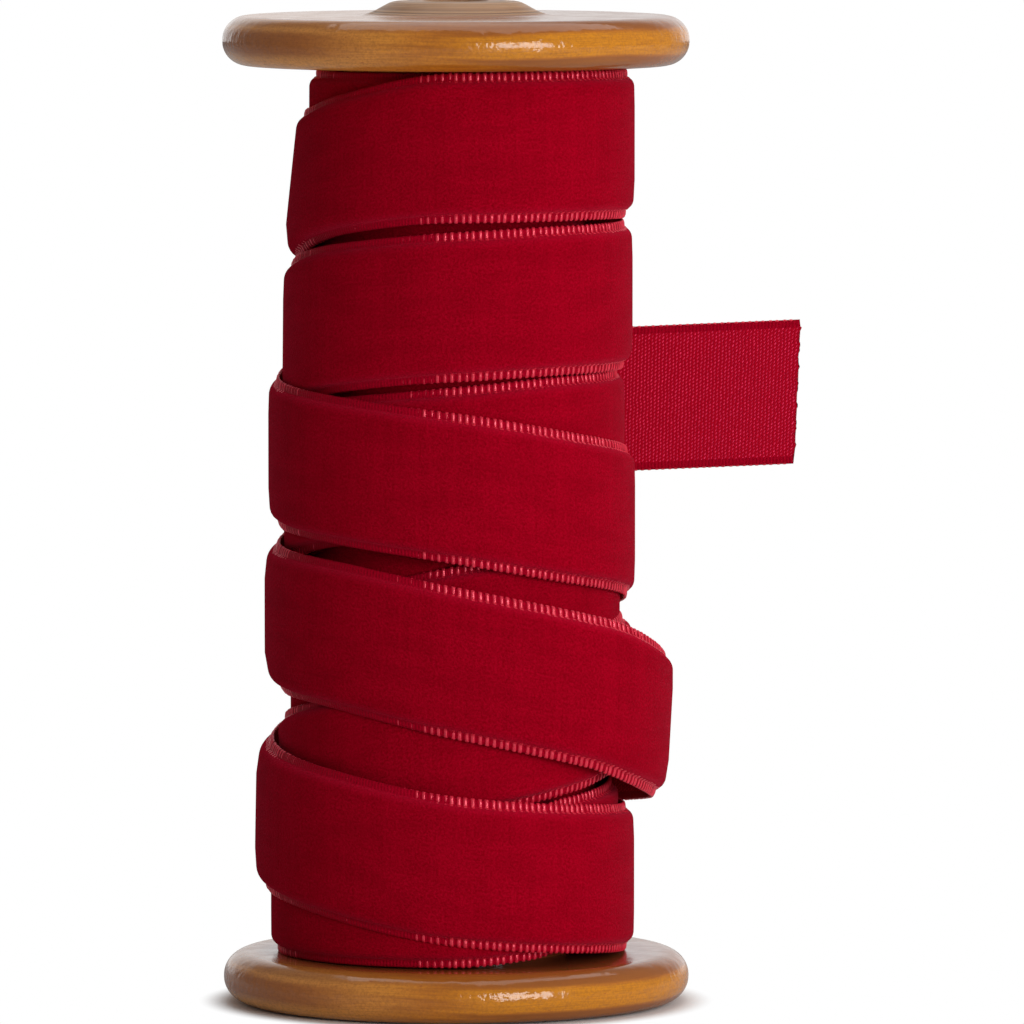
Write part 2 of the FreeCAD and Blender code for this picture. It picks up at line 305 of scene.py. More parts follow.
def wood_material():
    """Honey-brown turned wood with grain along X, bands level with each disc and clear varnish; the
    yellow band along the right of the rims is a painted highlight.
    """
    graph = Graph(bpy.data.materials.new("varnished_wood"))
    place = graph.object_place()
    x, y, z = graph.split(place)
    radius = graph.radius(x, y)
    disc_foot, spool_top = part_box("upper_flange")[0].z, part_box("upper_flange")[1].z

    # Height above or below the middle of the nearer disc, drifting a little as grain does.
    in_upper = graph.math("GREATER_THAN", z, 70 * MM)
    level = graph.minus(graph.minus(z, DISC_HALF * MM), graph.times(in_upper, disc_foot))
    drift = graph.noise(graph.scaled(place, (28, 28, 70)), 1.0, 2.0)
    level = graph.plus(level, graph.math("MULTIPLY_ADD", drift, 2.0 * MM, -1.0 * MM))
    apart = graph.math("ABSOLUTE", level)

    grain = graph.noise(graph.scaled(graph.join(x, y, level), (70, 70, 1500), (3, 5, 2)), 1.0, 3.0)
    fibre = graph.noise(graph.scaled(graph.join(x, y, level), (150, 400, 5200)), 1.0, 3.0, 0.6)
    speckle = graph.noise(place, 2400.0, 2.0, 0.7)
    fleck = graph.noise(graph.scaled(place, (900, 900, 2600), (9, 2, 5)), 1.0, 1.0)
    boss_foot = spool_top / MM - BOSS_RISE
    on_boss = graph.times(graph.remap_mm(z, boss_foot + 0.05, boss_foot + 0.4),
                          graph.remap_mm(radius, 14.5, 12.5))
    lines = graph.noise(graph.scaled(graph.join(radius, z, 0.0), (900, 4200, 1)), 1.0, 2.0, 0.6)

    # Each coat is a colour and how strongly it lies on the ones before it: the left side painted
    # paler, a painted light and reflection; the bands round the rims, the yellow one on the right a
    # painted highlight; the fine figure; a painted shadow with a painted red reflection of the
    # ribbon round its seat on the lower disc; and the worn boss.
    base = graph.ramp(grain, [(0.34, HONEY_DARK), (0.50, HONEY), (0.68, HONEY_LIGHT)])
    on_base = graph.math("LESS_THAN", z, 9 * MM)
    coats = [
        # Painted light and reflection: the left side of the wood painted paler.
        (PAINTED_PALE_LEFT, graph.remap_mm(x, 0, -26, 0.0, 0.85)),
        # Painted highlight: a yellow band along the middle of the rims on the right, where the
        # lights fall.
        (YELLOW, graph.times(graph.remap_mm(x, -8, 11), graph.remap_mm(apart, 1.95, 1.45), 0.75)),
        (BROWN, graph.times(graph.remap_mm(x, -2, 12), graph.remap_mm(apart, 1.75, 2.25), 0.75)),
        (BROWN, graph.times(graph.remap_mm(level, 1.9, 2.7), 0.62)),
        (HEART, graph.times(graph.remap_mm(x, -9, -24), graph.remap_mm(apart, 2.7, 1.1), 0.80)),
        (BROWN, graph.remap(fibre, 0.42, 0.70, 0.0, 0.30)),
        (BROWN, graph.remap(speckle, 0.40, 0.66, 0.0, 0.30)),
        (HEART, graph.remap(fleck, 0.72, 0.78, 0.0, 0.55)),
        # Painted shadow with a painted red reflection of the ribbon, on the lower disc close round
        # the ribbon.
        (RIBBON_SHADE_AND_REFLECTION, graph.times(graph.remap_mm(radius, 32, 27), on_base, 0.75)),
        (graph.ramp(lines, WORN), graph.times(on_boss, 0.85)),
    ]
    for colour, amount in coats:
        base = graph.mix_colour(amount, base, colour)
    graph.feed("Base Color", base)

    # The varnish is glossier on the rounded rims, where it also has small dents, and calmer on the
    # flat faces; the boss is nearly bare and shows its turning lines.
    facing = graph.nodes.new("ShaderNodeNewGeometry").outputs["Normal"]
    flat = graph.remap(graph.math("ABSOLUTE", graph.split(facing)[2]), 0.80, 0.97)
    rough = graph.remap(graph.noise(place, 260.0, 2.0), 0.3, 0.7, 0.09, 0.15)
    rough = graph.plus(rough, graph.times(flat, 0.07))
    graph.feed("Roughness", graph.plus(rough, graph.times(on_boss, 0.25)))
    graph.feed("Specular IOR Level", 0.55)
    ripple = graph.times(graph.minus(graph.noise(place, 420.0, 1.0), 0.5),
                         graph.remap(flat, 0.0, 1.0, 1.0, 0.35))
    on_rim = graph.times(graph.remap_mm(apart, 2.6, 1.4),
                         graph.remap_mm(radius, DISC_RADIUS - 4, DISC_RADIUS - 2))
    dents = graph.times(graph.noise(place, 900.0, 2.0, 0.55), on_rim)
    normal = graph.bump(ripple, 0.09 * MM)
    normal = graph.bump(dents, 0.13 * MM, normal)
    graph.feed("Normal", graph.bump(graph.times(lines, on_boss), 0.22 * MM, normal))
    return graph.owner


def pile_material():
    """Dense cut velvet pile: deep crimson, almost no gloss, a faint pink sheen at the edges."""
    graph = Graph(bpy.data.materials.new("velvet_pile"))
    place = graph.ribbon_place()
    tufts = graph.noise(place, 2.6, 3.0, 0.75)
    brushed = graph.noise(graph.scaled(place, (0.11, 0.32, 1)), 1.0, 2.0, 0.5)
    rows = graph.noise(graph.scaled(place, (0.9, 0.05, 1)), 1.0, 1.0, 0.5)
    middle, foot = pile_span()
    off_middle = graph.math("ABSOLUTE", graph.minus(graph.split(place)[1], middle))
    # Painted sheen: the pile's edges are painted lighter pink in noisy patches, as its fibres catch
    # the light at the shoulders.
    sheen_patches = graph.remap(graph.noise(place, 3.4, 2.0, 0.7), 0.35, 0.70, 0.25, 1.0)
    edge_sheen = graph.times(graph.remap(off_middle, foot - 2.0, foot - 0.2), sheen_patches, 0.6)

    colour = graph.mix_colour(graph.remap(tufts, 0.3, 0.7),
                              (0.265, 0.0002, 0.0060), (0.445, 0.0014, 0.0170))
    for amount, shade in ((graph.remap(brushed, 0.35, 0.68, 0.0, 0.28), (0.22, 0.0003, 0.0055)),
                          (graph.remap(rows, 0.4, 0.7, 0.0, 0.16), (0.48, 0.0010, 0.0170)),
                          (edge_sheen, (0.66, 0.0075, 0.042))):
        colour = graph.mix_colour(amount, colour, shade)
    graph.feed("Base Color", colour)
    graph.feed("Roughness", 0.95)
    graph.feed("Specular IOR Level", 0.0)
    graph.feed("Sheen Weight", 0.16)
    graph.feed("Sheen Roughness", 0.32)
    graph.feed("Sheen Tint", (1.0, 0.22, 0.34))
    graph.feed("Normal", graph.bump(tufts, 0.22 * MM))
    return graph.owner


def selvedge_material():
    """Close satin edge of the ribbon, threads running across it."""
    graph = Graph(bpy.data.materials.new("selvedge_satin"))
    along, across, _ = graph.split(graph.ribbon_place())
    wave = graph.math("SINE", graph.times(along, 2 * math.tau / LOOP_PITCH))
    lean = graph.noise(graph.join(along, across, 0.0), 2.8, 3.0, 0.7)
    height = graph.plus(graph.times(wave, 0.12), lean)
    graph.feed("Base Color", graph.mix_colour(graph.remap(height, 0.1, 0.9),
                                              (0.30, 0.0003, 0.0090), (0.46, 0.0010, 0.0200)))
    graph.feed("Roughness", 0.60)
    graph.feed("Specular IOR Level", 0.12)
    graph.feed("Specular Tint", (1.0, 0.12, 0.20))
    graph.feed("Normal", graph.bump(height, 0.20 * MM))
    return graph.owner


def picot_material():
    """Satin loops along both edges: red thread painted brighter than the pile as a painted glint,
    with a strong pink specular glint too.
    """
    graph = Graph(bpy.data.materials.new("picot_satin"))
    along, across, _ = graph.split(graph.ribbon_place())
    fray = graph.noise(graph.join(along, across, 0.0), 2.6, 3.0, 0.65)
    # The loops' red is painted brighter than the pile's: a painted glint, besides the specular one.
    graph.feed("Base Color", graph.mix_colour(graph.remap(fray, 0.3, 0.7),
                                              (0.62, 0.0080, 0.030), (0.86, 0.0280, 0.068)))
    graph.feed("IOR", 2.0)
    graph.feed("Roughness", 0.31)
    graph.feed("Specular IOR Level", 1.0)
    graph.feed("Specular Tint", (1.0, 0.22, 0.28))
    graph.feed("Normal", graph.bump(fray, 0.07 * MM))
    return graph.owner


# Spacing of the woven back's floats along and across the ribbon, the half length and half width
# of one float, and the two spacings of the faint twill that runs over them, in millimetres.
COLUMN_PITCH, ROW_PITCH = 0.53, 0.555
FLOAT_WIDE, FLOAT_LONG, FLOAT_SLANT = 0.27, 0.42, 0.40
TWILL_ALONG, TWILL_ACROSS = 1.06, 1.77


def weave_material():
    """Back of the velvet: slanted pink floats in offset columns over dark red ground."""
    graph = Graph(bpy.data.materials.new("ribbon_back_weave"))
    along, across, _ = graph.split(graph.ribbon_place())
    drift = graph.noise(graph.join(along, across, 0.0), 0.6, 3.0, 0.6)
    column = graph.math("DIVIDE", graph.plus(along, graph.times(drift, 0.5)), COLUMN_PITCH)
    number = graph.math("ABSOLUTE", graph.math("FLOOR", column))
    offset = graph.times(graph.math("MODULO", number, 2.0), 0.5)
    row = graph.plus(graph.plus(graph.math("DIVIDE", across, ROW_PITCH), offset),
                     graph.times(drift, 0.9))
    u = graph.minus(graph.math("FRACT", column), 0.5)
    v = graph.minus(graph.math("FRACT", row), 0.5)
    slant = graph.plus(u, graph.times(v, -FLOAT_SLANT))
    near = graph.plus(graph.math("POWER", graph.math("DIVIDE", slant, FLOAT_WIDE), 2.0),
                      graph.math("POWER", graph.math("DIVIDE", v, FLOAT_LONG), 2.0))
    dot = graph.remap(near, 1.25, 0.0)
    twill = graph.math("SINE", graph.minus(graph.times(along, math.tau / TWILL_ALONG),
                                           graph.times(across, math.tau / TWILL_ACROSS)))
    jitter = graph.noise(graph.join(along, across, 3.0), 2.1, 2.0, 0.7)
    lively = graph.plus(graph.remap(jitter, 0.3, 0.7, 0.35, 1.0), graph.times(twill, 0.14))
    bright = graph.math("MULTIPLY", dot, lively, clamp=True)
    graph.feed("Base Color", graph.mix_colour(bright, (0.445, 0.0002, 0.0130),
                                              (0.97, 0.040, 0.130)))
    graph.feed("Roughness", 0.5)
    graph.feed("Specular IOR Level", 0.12)
    graph.feed("Specular Tint", (1.0, 0.2, 0.3))
    graph.feed("Normal", graph.bump(dot, 0.09 * MM))
    return graph.owner


def tape_material():
    """Creamy paper-backed tape with a faint fibre."""
    graph = Graph(bpy.data.materials.new("paper_tape"))
    fibre = graph.noise(graph.scaled(graph.ribbon_place(), (0.5, 3.0, 1)), 1.0, 3.0, 0.6)
    cream = [(0.3, (0.62, 0.59, 0.50)), (0.7, (0.84, 0.82, 0.74))]
    graph.feed("Base Color", graph.ramp(fibre, cream))
    graph.feed("Roughness", 0.85)
    graph.feed("Normal", graph.bump(fibre, 0.04 * MM))
    return graph.owner


# --------------------------------------------------------------------- the ribbon's winding
# The same route as in the part's CAD, in millimetres: travel angle 0 is the front, 90 the left,
# 180 the back and 270 the right, and each row is (travel angle, height of the ribbon's middle,
# radius of its back at the lower edge, radius of its back at the upper edge).

FIRST_RADIUS, SECOND_RADIUS, SLACK_RADIUS, THIRD_RADIUS = 17.2, 18.8, 20.6, 20.5
LOWEST, HIGHEST, START_DROP, PITCH = 19.2, 129.4, 0.4, 22.6
HALF_WIDTH = 11.0

# The second layer stands off the first between two heights, over a ramp at each end.
SLACK_LOW, SLACK_HIGH, SLACK_RAMP = 28, 104, 22

# Travel angles at which the ribbon starts, turns back, and leaves the winding. At each turn back
# it climbs onto the layer below between STEP_BEFORE and STEP_AFTER degrees.
RIBBON_START, FIRST_BOTTOM, SECOND_TOP = -3911, -2162, -438
THIRD_BOTTOM, RIBBON_LEAVES = 1665, 3060
ROW_EVERY, STEP_BEFORE, STEP_AFTER = 45, 18, 9

# Where the tail leaves: its back's distance behind the axis, its middle's height, how much it
# rises per millimetre, and its length.
TAIL_DEPTH, TAIL_HEIGHT, TAIL_RISE, TAIL_REACH = 26.1, 87.8, 0.043, 51.8


def hidden_rows():
    """Rows of the two inner layers: down the barrel, then back up, slack around the middle."""
    rows = []
    last = FIRST_BOTTOM - STEP_BEFORE
    for angle in [*range(RIBBON_START, last - 12, ROW_EVERY), last]:
        height = HIGHEST - START_DROP - PITCH * (angle - RIBBON_START) / 360
        rows.append((angle, height, FIRST_RADIUS, FIRST_RADIUS))
    rows.append((FIRST_BOTTOM + STEP_AFTER, LOWEST, SECOND_RADIUS, SECOND_RADIUS))
    for angle in range(FIRST_BOTTOM + 2 * ROW_EVERY, SECOND_TOP - 40, ROW_EVERY):
        height = HIGHEST - PITCH * (SECOND_TOP - angle) / 360
        ramp = min(height - SLACK_LOW, SLACK_HIGH - height) / SLACK_RAMP
        slack = max(0.0, min(1.0, ramp))
        radius = SECOND_RADIUS + slack * (SLACK_RADIUS - SECOND_RADIUS)
        rows.append((angle, height, radius, radius))
    height = HIGHEST - PITCH * STEP_BEFORE / 360
    rows.append((SECOND_TOP - STEP_BEFORE, height, SECOND_RADIUS, SECOND_RADIUS))
    rows.append((SECOND_TOP + STEP_AFTER, HIGHEST, THIRD_RADIUS, THIRD_RADIUS))
    return rows


THIRD_LAYER = [
    (-360, 129.2, 20.5, 20.5), (-270, 129.0, 20.5, 20.5), (-160, 129.0, 20.5, 20.5),
    (-135, 129.0, 22.1, 22.1), (-112.5, 129.0, 23.0, 23.0), (-90, 129.0, 25.3, 25.3),
    (-45, 129.3, 25.2, 25.2), (0, 129.2, 24.9, 24.7), (45, 126.5, 24.5, 23.6),
    (67.5, 124.5, 24.5, 22.8), (90, 122.3, 24.6, 22.2), (135, 118.8, 24.2, 22.9),
    (180, 114.8, 24.4, 23.8), (225, 109.5, 25.0, 25.0), (270, 106.4, 25.0, 25.0),
    (315, 106.4, 24.8, 24.8), (360, 105.7, 24.7, 24.7), (405, 103.7, 24.7, 24.5),
    (450, 99.8, 24.6, 24.4), (495, 96.0, 24.5, 24.5), (540, 91.9, 24.3, 24.3),
    (585, 86.9, 24.0, 24.0), (630, 84.2, 23.8, 23.8), (675, 84.0, 23.6, 23.6),
    (720, 82.7, 23.6, 23.6), (765, 80.8, 24.1, 24.1), (810, 77.3, 24.4, 24.4),
    (855, 73.3, 24.0, 24.0), (900, 69.0, 23.1, 23.1), (945, 63.9, 23.1, 23.1),
    (990, 61.2, 23.1, 23.1), (1035, 58.9, 23.0, 23.0), (1080, 55.9, 22.9, 22.9),
    (1125, 52.0, 22.9, 22.9), (1170, 49.3, 23.4, 23.4), (1215, 48.0, 23.1, 23.1),
    (1260, 46.7, 25.0, 25.0), (1305, 46.8, 25.1, 25.1), (1350, 47.4, 25.1, 25.1),
    (1395, 44.3, 24.8, 24.8), (1440, 40.7, 24.6, 24.6), (1485, 36.2, 24.5, 24.8),
    (1530, 31.8, 24.4, 25.4), (1575, 26.1, 24.2, 24.8), (1620, 23.7, 23.9, 23.9),
]
OUTER_LAYER = [
    (1665, 23.3, 23.2, 23.2), (1710, 22.5, 22.9, 22.9), (1755, 21.2, 24.2, 24.2),
    (1777.5, 19.5, 25.4, 25.4), (1800, 18.8, 26.2, 26.2), (1845, 18.6, 26.3, 26.3),
    (1890, 18.5, 26.4, 26.4), (1935, 18.5, 26.2, 26.2), (1980, 18.5, 25.9, 25.9),
    (2025, 18.5, 25.5, 25.5), (2070, 18.8, 25.3, 25.3), (2115, 20.2, 26.9, 26.9),
    (2160, 22.2, 27.9, 27.9), (2205, 25.9, 28.4, 28.5), (2250, 28.7, 28.9, 28.5),
    (2295, 31.8, 28.8, 28.8), (2340, 35.3, 28.8, 28.8), (2385, 38.8, 29.4, 29.6),
    (2430, 41.5, 30.2, 31.4), (2475, 48.2, 29.0, 29.5), (2520, 53.1, 27.2, 27.2),
    (2565, 56.8, 27.1, 27.1), (2610, 58.1, 27.3, 27.3), (2655, 61.0, 27.2, 27.2),
    (2700, 64.3, 26.9, 26.9), (2722.5, 65.7, 26.8, 26.8), (2745, 68.0, 26.7, 26.7),
    (2767.5, 70.4, 26.5, 26.5), (2790, 72.1, 25.4, 25.4), (2835, 75.3, 25.7, 25.7),
    (2880, 78.9, 26.0, 26.0), (2925, 81.3, 26.5, 26.5), (2970, 82.9, 26.7, 26.7),
    (3015, 86.0, 26.5, 26.5), (3060, 87.8, 26.1, 26.1),
]

# Where its edges curl, the ribbon spans less than its full width: {travel angle: millimetres lost
# from the half width}; at every other row nothing is lost.
CURLED = {45: 0.7, 67.5: 0.8, 2430: 0.3}


def slopes(angles, values):
    """Tangents of a curve through the rows that never overshoots between them."""
    steps = [b - a for a, b in zip(angles, angles[1:])]
    rises = [(b - a) / d for a, b, d in zip(values, values[1:], steps)]
    result = [rises[0]]
    for left, right, before, after in zip(rises, rises[1:], steps, steps[1:]):
        if left * right <= 0:
            result.append(0.0)
        else:
            first, second = 2 * after + before, after + 2 * before
            result.append((first + second) / (first / left + second / right))
    return result + [rises[-1]]


class Winding:
    """Height, two radii and loss of half width of the ribbon, smooth along its travel angle."""

    def __init__(self, rows):
        self.angles = np.array([row[0] for row in rows], float)
        self.columns = [np.array([row[i] for row in rows], float) for i in (1, 2, 3)]
        self.columns.append(np.array([CURLED.get(row[0], 0.0) for row in rows], float))
        self.tangents = [np.array(slopes(list(self.angles), list(c))) for c in self.columns]

    def at(self, angle):
        """The four quantities at each travel angle."""
        i = np.clip(np.searchsorted(self.angles, angle) - 1, 0, len(self.angles) - 2)
        step = self.angles[i + 1] - self.angles[i]
        u = (angle - self.angles[i]) / step
        return [(1 + 2 * u) * (1 - u) ** 2 * c[i] + u * (1 - u) ** 2 * step * t[i]
                + u * u * (3 - 2 * u) * c[i + 1] + u * u * (u - 1) * step * t[i + 1]
                for c, t in zip(self.columns, self.tangents)]


winding = Winding(hidden_rows() + THIRD_LAYER + OUTER_LAYER)

# How far the lower and the upper edge bend in toward the axis, in millimetres: (travel angle,
# lower edge, upper edge). The bend grows from CURL_START off the ribbon's middle.
CURL_START = 5.0
CURLS = [
    (-400, 0.0, 0.0), (-90, 0.5, 0.2), (0, 0.3, 0.2), (30, 0.9, 0.3), (60, 1.9, 0.3),
    (90, 1.9, 0.0), (135, 1.2, 0.0), (180, 0.4, 0.2), (270, 0.4, 0.3), (380, 0.3, 0.2),
    (430, 0.3, 0.3), (460, 0.2, 0.3), (540, 0.2, 0.2), (720, 0.3, 0.3), (810, 0.3, 0.2),
    (1080, 0.2, 0.2), (1170, 0.2, 0.3), (1260, 0.2, 0.2), (1350, 0.5, 0.8), (1440, 0.3, 0.3),
    (1665, 0.0, 0.0), (1755, 0.0, 0.2), (1800, 0.0, 0.2), (2070, 0.2, 0.4), (2160, 0.2, 0.4),
    (2205, 0.5, 0.9), (2250, 0.8, 1.2), (2295, 0.4, 0.9), (2385, 0.4, 0.3), (2430, 1.0, 0.5),
    (2520, 0.3, 0.2), (2565, 1.0, 0.6), (2610, 1.8, 1.0), (2655, 0.9, 0.6), (2790, 0.3, 0.2),
    (2880, 0.2, 0.2), (2925, 0.5, 0.3), (2970, 0.6, 0.3), (3015, 0.2, 0.1), (3060, 0.0, 0.0),
]


def curl(angle, across):
    """Inward bend of the ribbon at a travel angle and a place across it."""
    turns, lower, upper = zip(*CURLS)
    amount = np.where(across < 0, np.interp(angle, turns, lower), np.interp(angle, turns, upper))
    beyond = np.clip((np.abs(across) - CURL_START) / (HALF_WIDTH - CURL_START), 0.0, 1.0)
    return amount * beyond ** 2


def wound_point(angle, across, out):
    """Points of the wound ribbon in metres; across runs -11 to 11 mm, out is above its back."""
    height, lower, upper, loss = winding.at(angle)
    ahead, behind = winding.at(angle + 0.5)[0], winding.at(angle - 0.5)[0]
    climb = np.degrees(ahead - behind) / ((lower + upper) / 2)
    half = np.sqrt((HALF_WIDTH - loss) ** 2 * (1 + climb ** 2) - ((upper - lower) / 2) ** 2)
    share = across / HALF_WIDTH
    radius = lower + (upper - lower) * (share + 1) / 2 + out - curl(angle, across)
    turn = np.radians(angle)
    return np.stack([-radius * np.sin(turn), -radius * np.cos(turn),
                     height + half * share], axis=-1) * MM


def tail_point(along, across, out):
    """Points of the free tail in metres; only its very end is frayed."""
    share = along / TAIL_REACH
    frayed = 0.13 * np.sin(2.1 * across) + 0.08 * np.sin(5.3 * across + 1.0) + 0.16 * (out > 0.5)
    x = along + across * TAIL_RISE * share + frayed * share ** 60 * (np.abs(across) < 9.9)
    z = TAIL_HEIGHT + TAIL_RISE * x + across
    return np.stack([x, TAIL_DEPTH + out + 0 * x, z], axis=-1) * MM


# ---------------------------------------------------------------------- the ribbon's meshes

PILE, SELVEDGE, BACK = 0, 1, 2

# Half of the ribbon's section in millimetres, (across, height above its back): the woven back up
# to BACK_HALF, the thin rounded selvedge, then the pile's shoulder up to its flat face.
BACK_HALF, FACE_HALF, FACE_HEIGHT = 9.8, 8.2, 1.5
EDGE = [(10.6, 0.0), (10.9, 0.06), (11.0, 0.22), (10.88, 0.40), (10.5, 0.45)]
SHOULDER = [(9.95, 0.45), (9.80, 0.74), (9.62, 1.02), (9.36, 1.26), (9.02, 1.42), (8.60, 1.50)]

# A loop runs from the pile over the selvedge and round the ribbon's edge, (across, height above
# the back); LOOP_LIFT is how proud it stands at each of these points, and LOOP_ARCH is its
# section, (place along the ribbon, share of that lift).
LOOP_PITCH = 1.04
LOOP_PATH = [(9.66, 0.96), (9.80, 0.74), (9.96, 0.50), (10.20, 0.46), (10.60, 0.45),
             (10.92, 0.42), (11.08, 0.33), (11.10, 0.20), (10.90, 0.06)]
LOOP_LIFT = [0.0, 0.12, 0.03, 0.12, 0.15, 0.13, 0.09, 0.04, -0.02]
LOOP_ARCH = [(-0.27, -0.25), (-0.17, 0.62), (0.0, 1.0), (0.17, 0.62), (0.27, -0.25)]

# Loops wander along the ribbon and sink unevenly by these amounts; one lying flat sinks further
# and is drawn in toward the ribbon's middle by a share of its distance.
LOOP_WANDER, LOOP_UNEVEN, LYING_SINKS, LYING_DRAWS_IN = 0.12, 0.05, 0.14, 0.016

# Loops lie flat along the front left of the spool, centred on this travel angle, and stand up
# again where the cosine of the angle from it falls from LIE_FULL to STAND_FULL.
LIE_MIDDLE, LIE_FULL, STAND_FULL, TAIL_STANDING = 38.0, 0.97, 0.79, 0.6
MEAN_RADIUS = 25.5

# The tape's width, the barrel's radius, the tape's thickness, the angle it spans and how far it
# reaches past the ribbon's inner end, in millimetres and degrees.
TAPE_WIDTH, TAPE_INNER, TAPE_THICKNESS, TAPE_SWEEP, TAPE_LEAD = 18.0, 17.0, 0.15, 42.0, 3.0

# Two places at the tail's root, in metres.
TAIL_HINGE, TAIL_BEND_END = (0.0, 0.0276, 0.0878), (0.012, 0.0276, 0.0878)


def ribbon_profile(count):
    """The closed section (across, out), each corner with the zone of the side that it starts."""
    points = [(-EDGE[0][0], EDGE[0][1], SELVEDGE)]
    points += [(s, 0.0, BACK) for s in np.linspace(-BACK_HALF, BACK_HALF, count)[:-1]]
    points += [(BACK_HALF, 0.0, SELVEDGE)]
    points += [(s, d, SELVEDGE) for s, d in EDGE]
    points += [(s, d, PILE) for s, d in SHOULDER]
    points += [(s, FACE_HEIGHT, PILE) for s in np.linspace(FACE_HALF, -FACE_HALF, count)]
    points += [(-s, d, PILE) for s, d in SHOULDER[:0:-1]]
    points += [(-SHOULDER[0][0], SHOULDER[0][1], SELVEDGE)]
    points += [(-s, d, SELVEDGE) for s, d in EDGE[:0:-1]]
    return points


def developed(profile):
    """Distance round the section from its first corner, so that patterns keep their scale."""
    total, result = 0.0, [0.0]
    for (s, d, _), (next_s, next_d, _) in zip(profile, profile[1:] + profile[:1]):
        total += math.hypot(next_s - s, next_d - d)
        result.append(total)
    return result


def pile_span():
    """Distance round the section to the pile's middle, and from there to the pile's foot."""
    profile = ribbon_profile(2)
    reach = developed(profile)
    middle = EDGE[0][0] + reach[-1] / 2
    return middle, middle - reach[profile.index((*SHOULDER[0], PILE))]


def mesh_object(name, vertices, faces, materials, zones, uvs):
    """A smooth object with sharp corners kept, a material zone per face and the ribbon's map."""
    data = bpy.data.meshes.new(name)
    data.from_pydata(vertices, [], faces)
    for material in materials:
        data.materials.append(material)
    data.polygons.foreach_set("material_index", zones)
    layer = data.uv_layers.new(name=RIBBON_MAP)
    layer.data.foreach_set("uv", np.asarray(uvs, np.float32).ravel())
    data.polygons.foreach_set("use_smooth", [True] * len(faces))
    data.validate()
    data.set_sharp_from_angle(angle=math.radians(70))
    thing = bpy.data.objects.new(name, data)
    bpy.context.scene.collection.objects.link(thing)
    return thing


def strip(name, stations, along, place, materials, face_points=7):
    """A closed strip with the ribbon's section at each station, capped at both ends."""
    profile = ribbon_profile(face_points)
    reach = developed(profile)
    across, out = (np.array([corner[i] for corner in profile]) for i in (0, 1))
    count, sides = len(stations), len(profile)
    grid = place(stations[:, None], across[None, :], out[None, :])
    faces, zones, uvs = [], [], []
    for i in range(count - 1):
        for j in range(sides):
            k = (j + 1) % sides
            faces.append((i * sides + j, i * sides + k, (i + 1) * sides + k, (i + 1) * sides + j))
            zones.append(profile[j][2])
            uvs += [(along[i], reach[j]), (along[i], reach[j + 1]),
                    (along[i + 1], reach[j + 1]), (along[i + 1], reach[j])]
    for i, ring in ((0, range(sides - 1, -1, -1)), (count - 1, range(sides))):
        faces.append(tuple(i * sides + j for j in ring))
        zones.append(PILE)
        uvs += [(along[i] + out[j], reach[j]) for j in ring]
    return mesh_object(name, grid.reshape(-1, 3), faces, materials, zones, uvs)


def loop_surface(side):
    """One standing loop on the upper (1) or lower (-1) edge: rows of (along, across, out)."""
    points = []
    for step, (across, out) in enumerate(LOOP_PATH):
        before = LOOP_PATH[max(step - 1, 0)]
        after = LOOP_PATH[min(step + 1, len(LOOP_PATH) - 1)]
        run, rise = after[0] - before[0], after[1] - before[1]
        length = math.hypot(run, rise)
        for along, share in LOOP_ARCH:
            lift = LOOP_LIFT[step] * share / length
            points.append((along, side * (across - rise * lift), out + run * lift))
    return np.array(points)


def edge_loops(name, spots, place, standing, material):
    """Short satin loops across both edges; standing is 1 for a proud loop, 0 for one lying flat."""
    number = np.arange(len(spots))
    uneven = np.sin(1.9 * number) * np.sin(0.83 * number)
    lying = (1 - standing)[:, None]
    sunk = LOOP_UNEVEN * (1 - uneven)[:, None] + LYING_SINKS * lying
    grids = []
    for side in (1, -1):
        along, across, out = loop_surface(side).T
        grids.append(place(spots[:, None] + along + LOOP_WANDER * uneven[:, None],
                           across * (1 - LYING_DRAWS_IN * lying), out - sunk))
    vertices = np.concatenate([grid.reshape(-1, 3) for grid in grids])

    rows, columns = len(LOOP_PATH), len(LOOP_ARCH)
    faces, uvs = [], []
    for side in range(2):
        for index, spot in enumerate(spots):
            base = (side * len(spots) + index) * rows * columns
            for r in range(rows - 1):
                for c in range(columns - 1):
                    a, b = r * columns + c, (r + 1) * columns + c
                    corners = (a, a + 1, b + 1, b) if side == 0 else (a, b, b + 1, a + 1)
                    faces.append(tuple(base + corner for corner in corners))
                    uvs += [(spot + LOOP_ARCH[corner % columns][0],
                             30.0 * side + 0.25 * (corner // columns)) for corner in corners]
    return mesh_object(name, vertices, faces, [material], [0] * len(faces), uvs)


def travelled(angles):
    """Length of ribbon up to each travel angle, in millimetres, along its middle line."""
    points = wound_point(angles, np.zeros_like(angles), np.zeros_like(angles)) / MM
    return np.concatenate([[0.0], np.cumsum(np.linalg.norm(np.diff(points, axis=0), axis=1))])


def wound_loops(name, angles, along, material):
    """The loops of a wound layer, every LOOP_PITCH along it."""
    spots = np.arange(LOOP_PITCH / 2, along[-1], LOOP_PITCH)
    at = np.interp(spots, along, angles)

    def place(distance, across, out):
        turned = at[:, None] + np.degrees((distance - spots[:, None]) / MEAN_RADIUS)
        return wound_point(turned, across, out)

    toward = np.cos(np.radians(at - LIE_MIDDLE))
    standing = 1 - np.clip((toward - STAND_FULL) / (LIE_FULL - STAND_FULL), 0.0, 1.0)
    loops = edge_loops(name + "_picots", spots, place, standing, material)
    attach(loops, "spool")
    return loops


def make_layer(name, start, end, step, looks, with_loops):
    """One layer of the winding between two travel angles, with a section every step degrees."""
    angles = np.linspace(start, end, math.ceil((end - start) / step) + 1)
    along = travelled(angles)
    layer = strip(name + "_velvet", angles, along, wound_point, looks[:3])
    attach(layer, "spool")
    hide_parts(name)
    extras = [wound_loops(name, angles, along, looks[3])] if with_loops else []


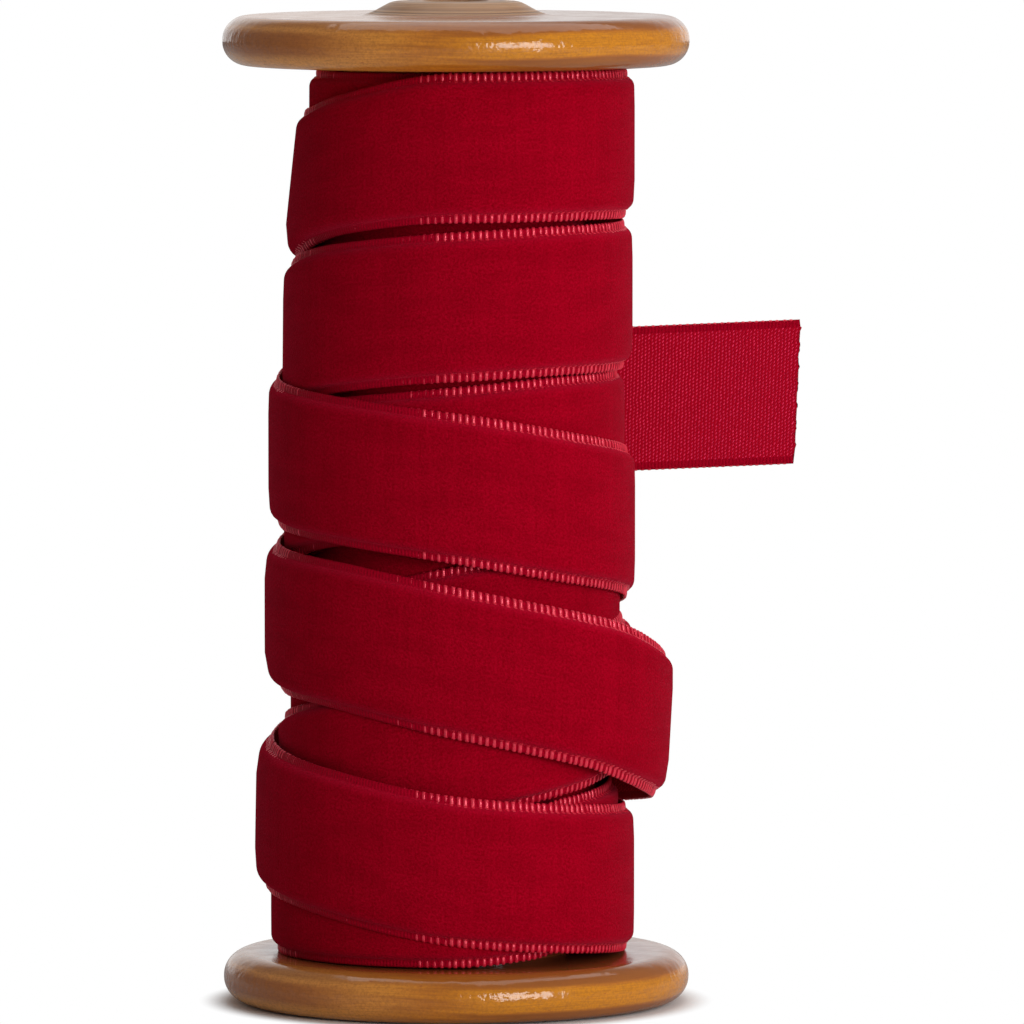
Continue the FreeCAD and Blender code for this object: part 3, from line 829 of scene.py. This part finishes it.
def make_tail(looks):
    """The free end of the ribbon with its loops."""
    # The sections lie a little closer together toward the frayed end.
    stations = TAIL_REACH * np.linspace(0.0, 1.0, 90) ** 0.8
    tail = strip("ribbon_tail_velvet", stations, stations, tail_point, looks[:3], face_points=41)
    spots = np.arange(LOOP_PITCH / 2, TAIL_REACH - 0.4, LOOP_PITCH)
    standing = np.full(len(spots), TAIL_STANDING)
    loops = edge_loops("ribbon_tail_picots", spots, tail_point, standing, looks[3])
    for piece in (tail, loops):
        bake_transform(piece)
        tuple(TAIL_HINGE)
        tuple(TAIL_BEND_END)
    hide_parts("ribbon_tail")


def make_tape(material, count=15):
    """Thin curved patch on the barrel under the ribbon's inner end."""
    low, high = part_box("ribbon_start_tape")
    outer = TAPE_INNER + TAPE_THICKNESS
    length = TAPE_INNER * math.radians(TAPE_SWEEP)
    first = -90 - RIBBON_START - TAPE_SWEEP - TAPE_LEAD
    vertices, along = [], []
    for share in np.linspace(0.0, 1.0, count):
        turn = math.radians(first + TAPE_SWEEP * share)
        along.append(length * share)
        for radius, z in ((TAPE_INNER, low.z), (outer, low.z), (outer, high.z),
                          (TAPE_INNER, high.z)):
            vertices.append((radius * MM * math.cos(turn), radius * MM * math.sin(turn), z))
    reach = np.cumsum([0.0, TAPE_THICKNESS, TAPE_WIDTH, TAPE_THICKNESS, TAPE_WIDTH])
    faces, uvs = [], []
    for i in range(count - 1):
        for j in range(4):
            k = (j + 1) % 4
            faces.append((4 * i + j, 4 * (i + 1) + j, 4 * (i + 1) + k, 4 * i + k))
            uvs += [(along[i], reach[j]), (along[i + 1], reach[j]),
                    (along[i + 1], reach[j + 1]), (along[i], reach[j + 1])]
    for ring in ((0, 1, 2, 3), tuple(4 * (count - 1) + j for j in (3, 2, 1, 0))):
        faces.append(ring)
        uvs += [(0.0, 0.0), (TAPE_THICKNESS, 0.0), (TAPE_THICKNESS, TAPE_WIDTH), (0.0, TAPE_WIDTH)]
    tape = mesh_object("ribbon_start_tape_patch", vertices, faces, [material],
                       [0] * len(faces), uvs)
    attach(tape, "spool")
    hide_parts("ribbon_start_tape")


def clothe_wood():
    """Give the CAD's wooden pieces their material."""
    material = wood_material()
    for node in ("lower_flange", "upper_flange", "barrel"):
        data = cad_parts[node].data
        data.materials.clear()
        data.materials.append(material)


make_camera()
bpy.context.scene.view_settings.view_transform = "Standard"
make_lights()
make_world()
make_floor()
clothe_wood()
ribbon_looks = [pile_material(), selvedge_material(), weave_material(), picot_material()]
make_layer("ribbon_layer_1", RIBBON_START, FIRST_BOTTOM, 5, ribbon_looks, with_loops=False)
make_layer("ribbon_layer_2", FIRST_BOTTOM, SECOND_TOP, 5, ribbon_looks, with_loops=False)
make_layer("ribbon_layer_3", SECOND_TOP, THIRD_BOTTOM, 2.5, ribbon_looks, with_loops=True)
make_layer("ribbon_layer_4", THIRD_BOTTOM, RIBBON_LEAVES, 2.5, ribbon_looks, with_loops=True)
make_tail(ribbon_looks)
make_tape(tape_material())
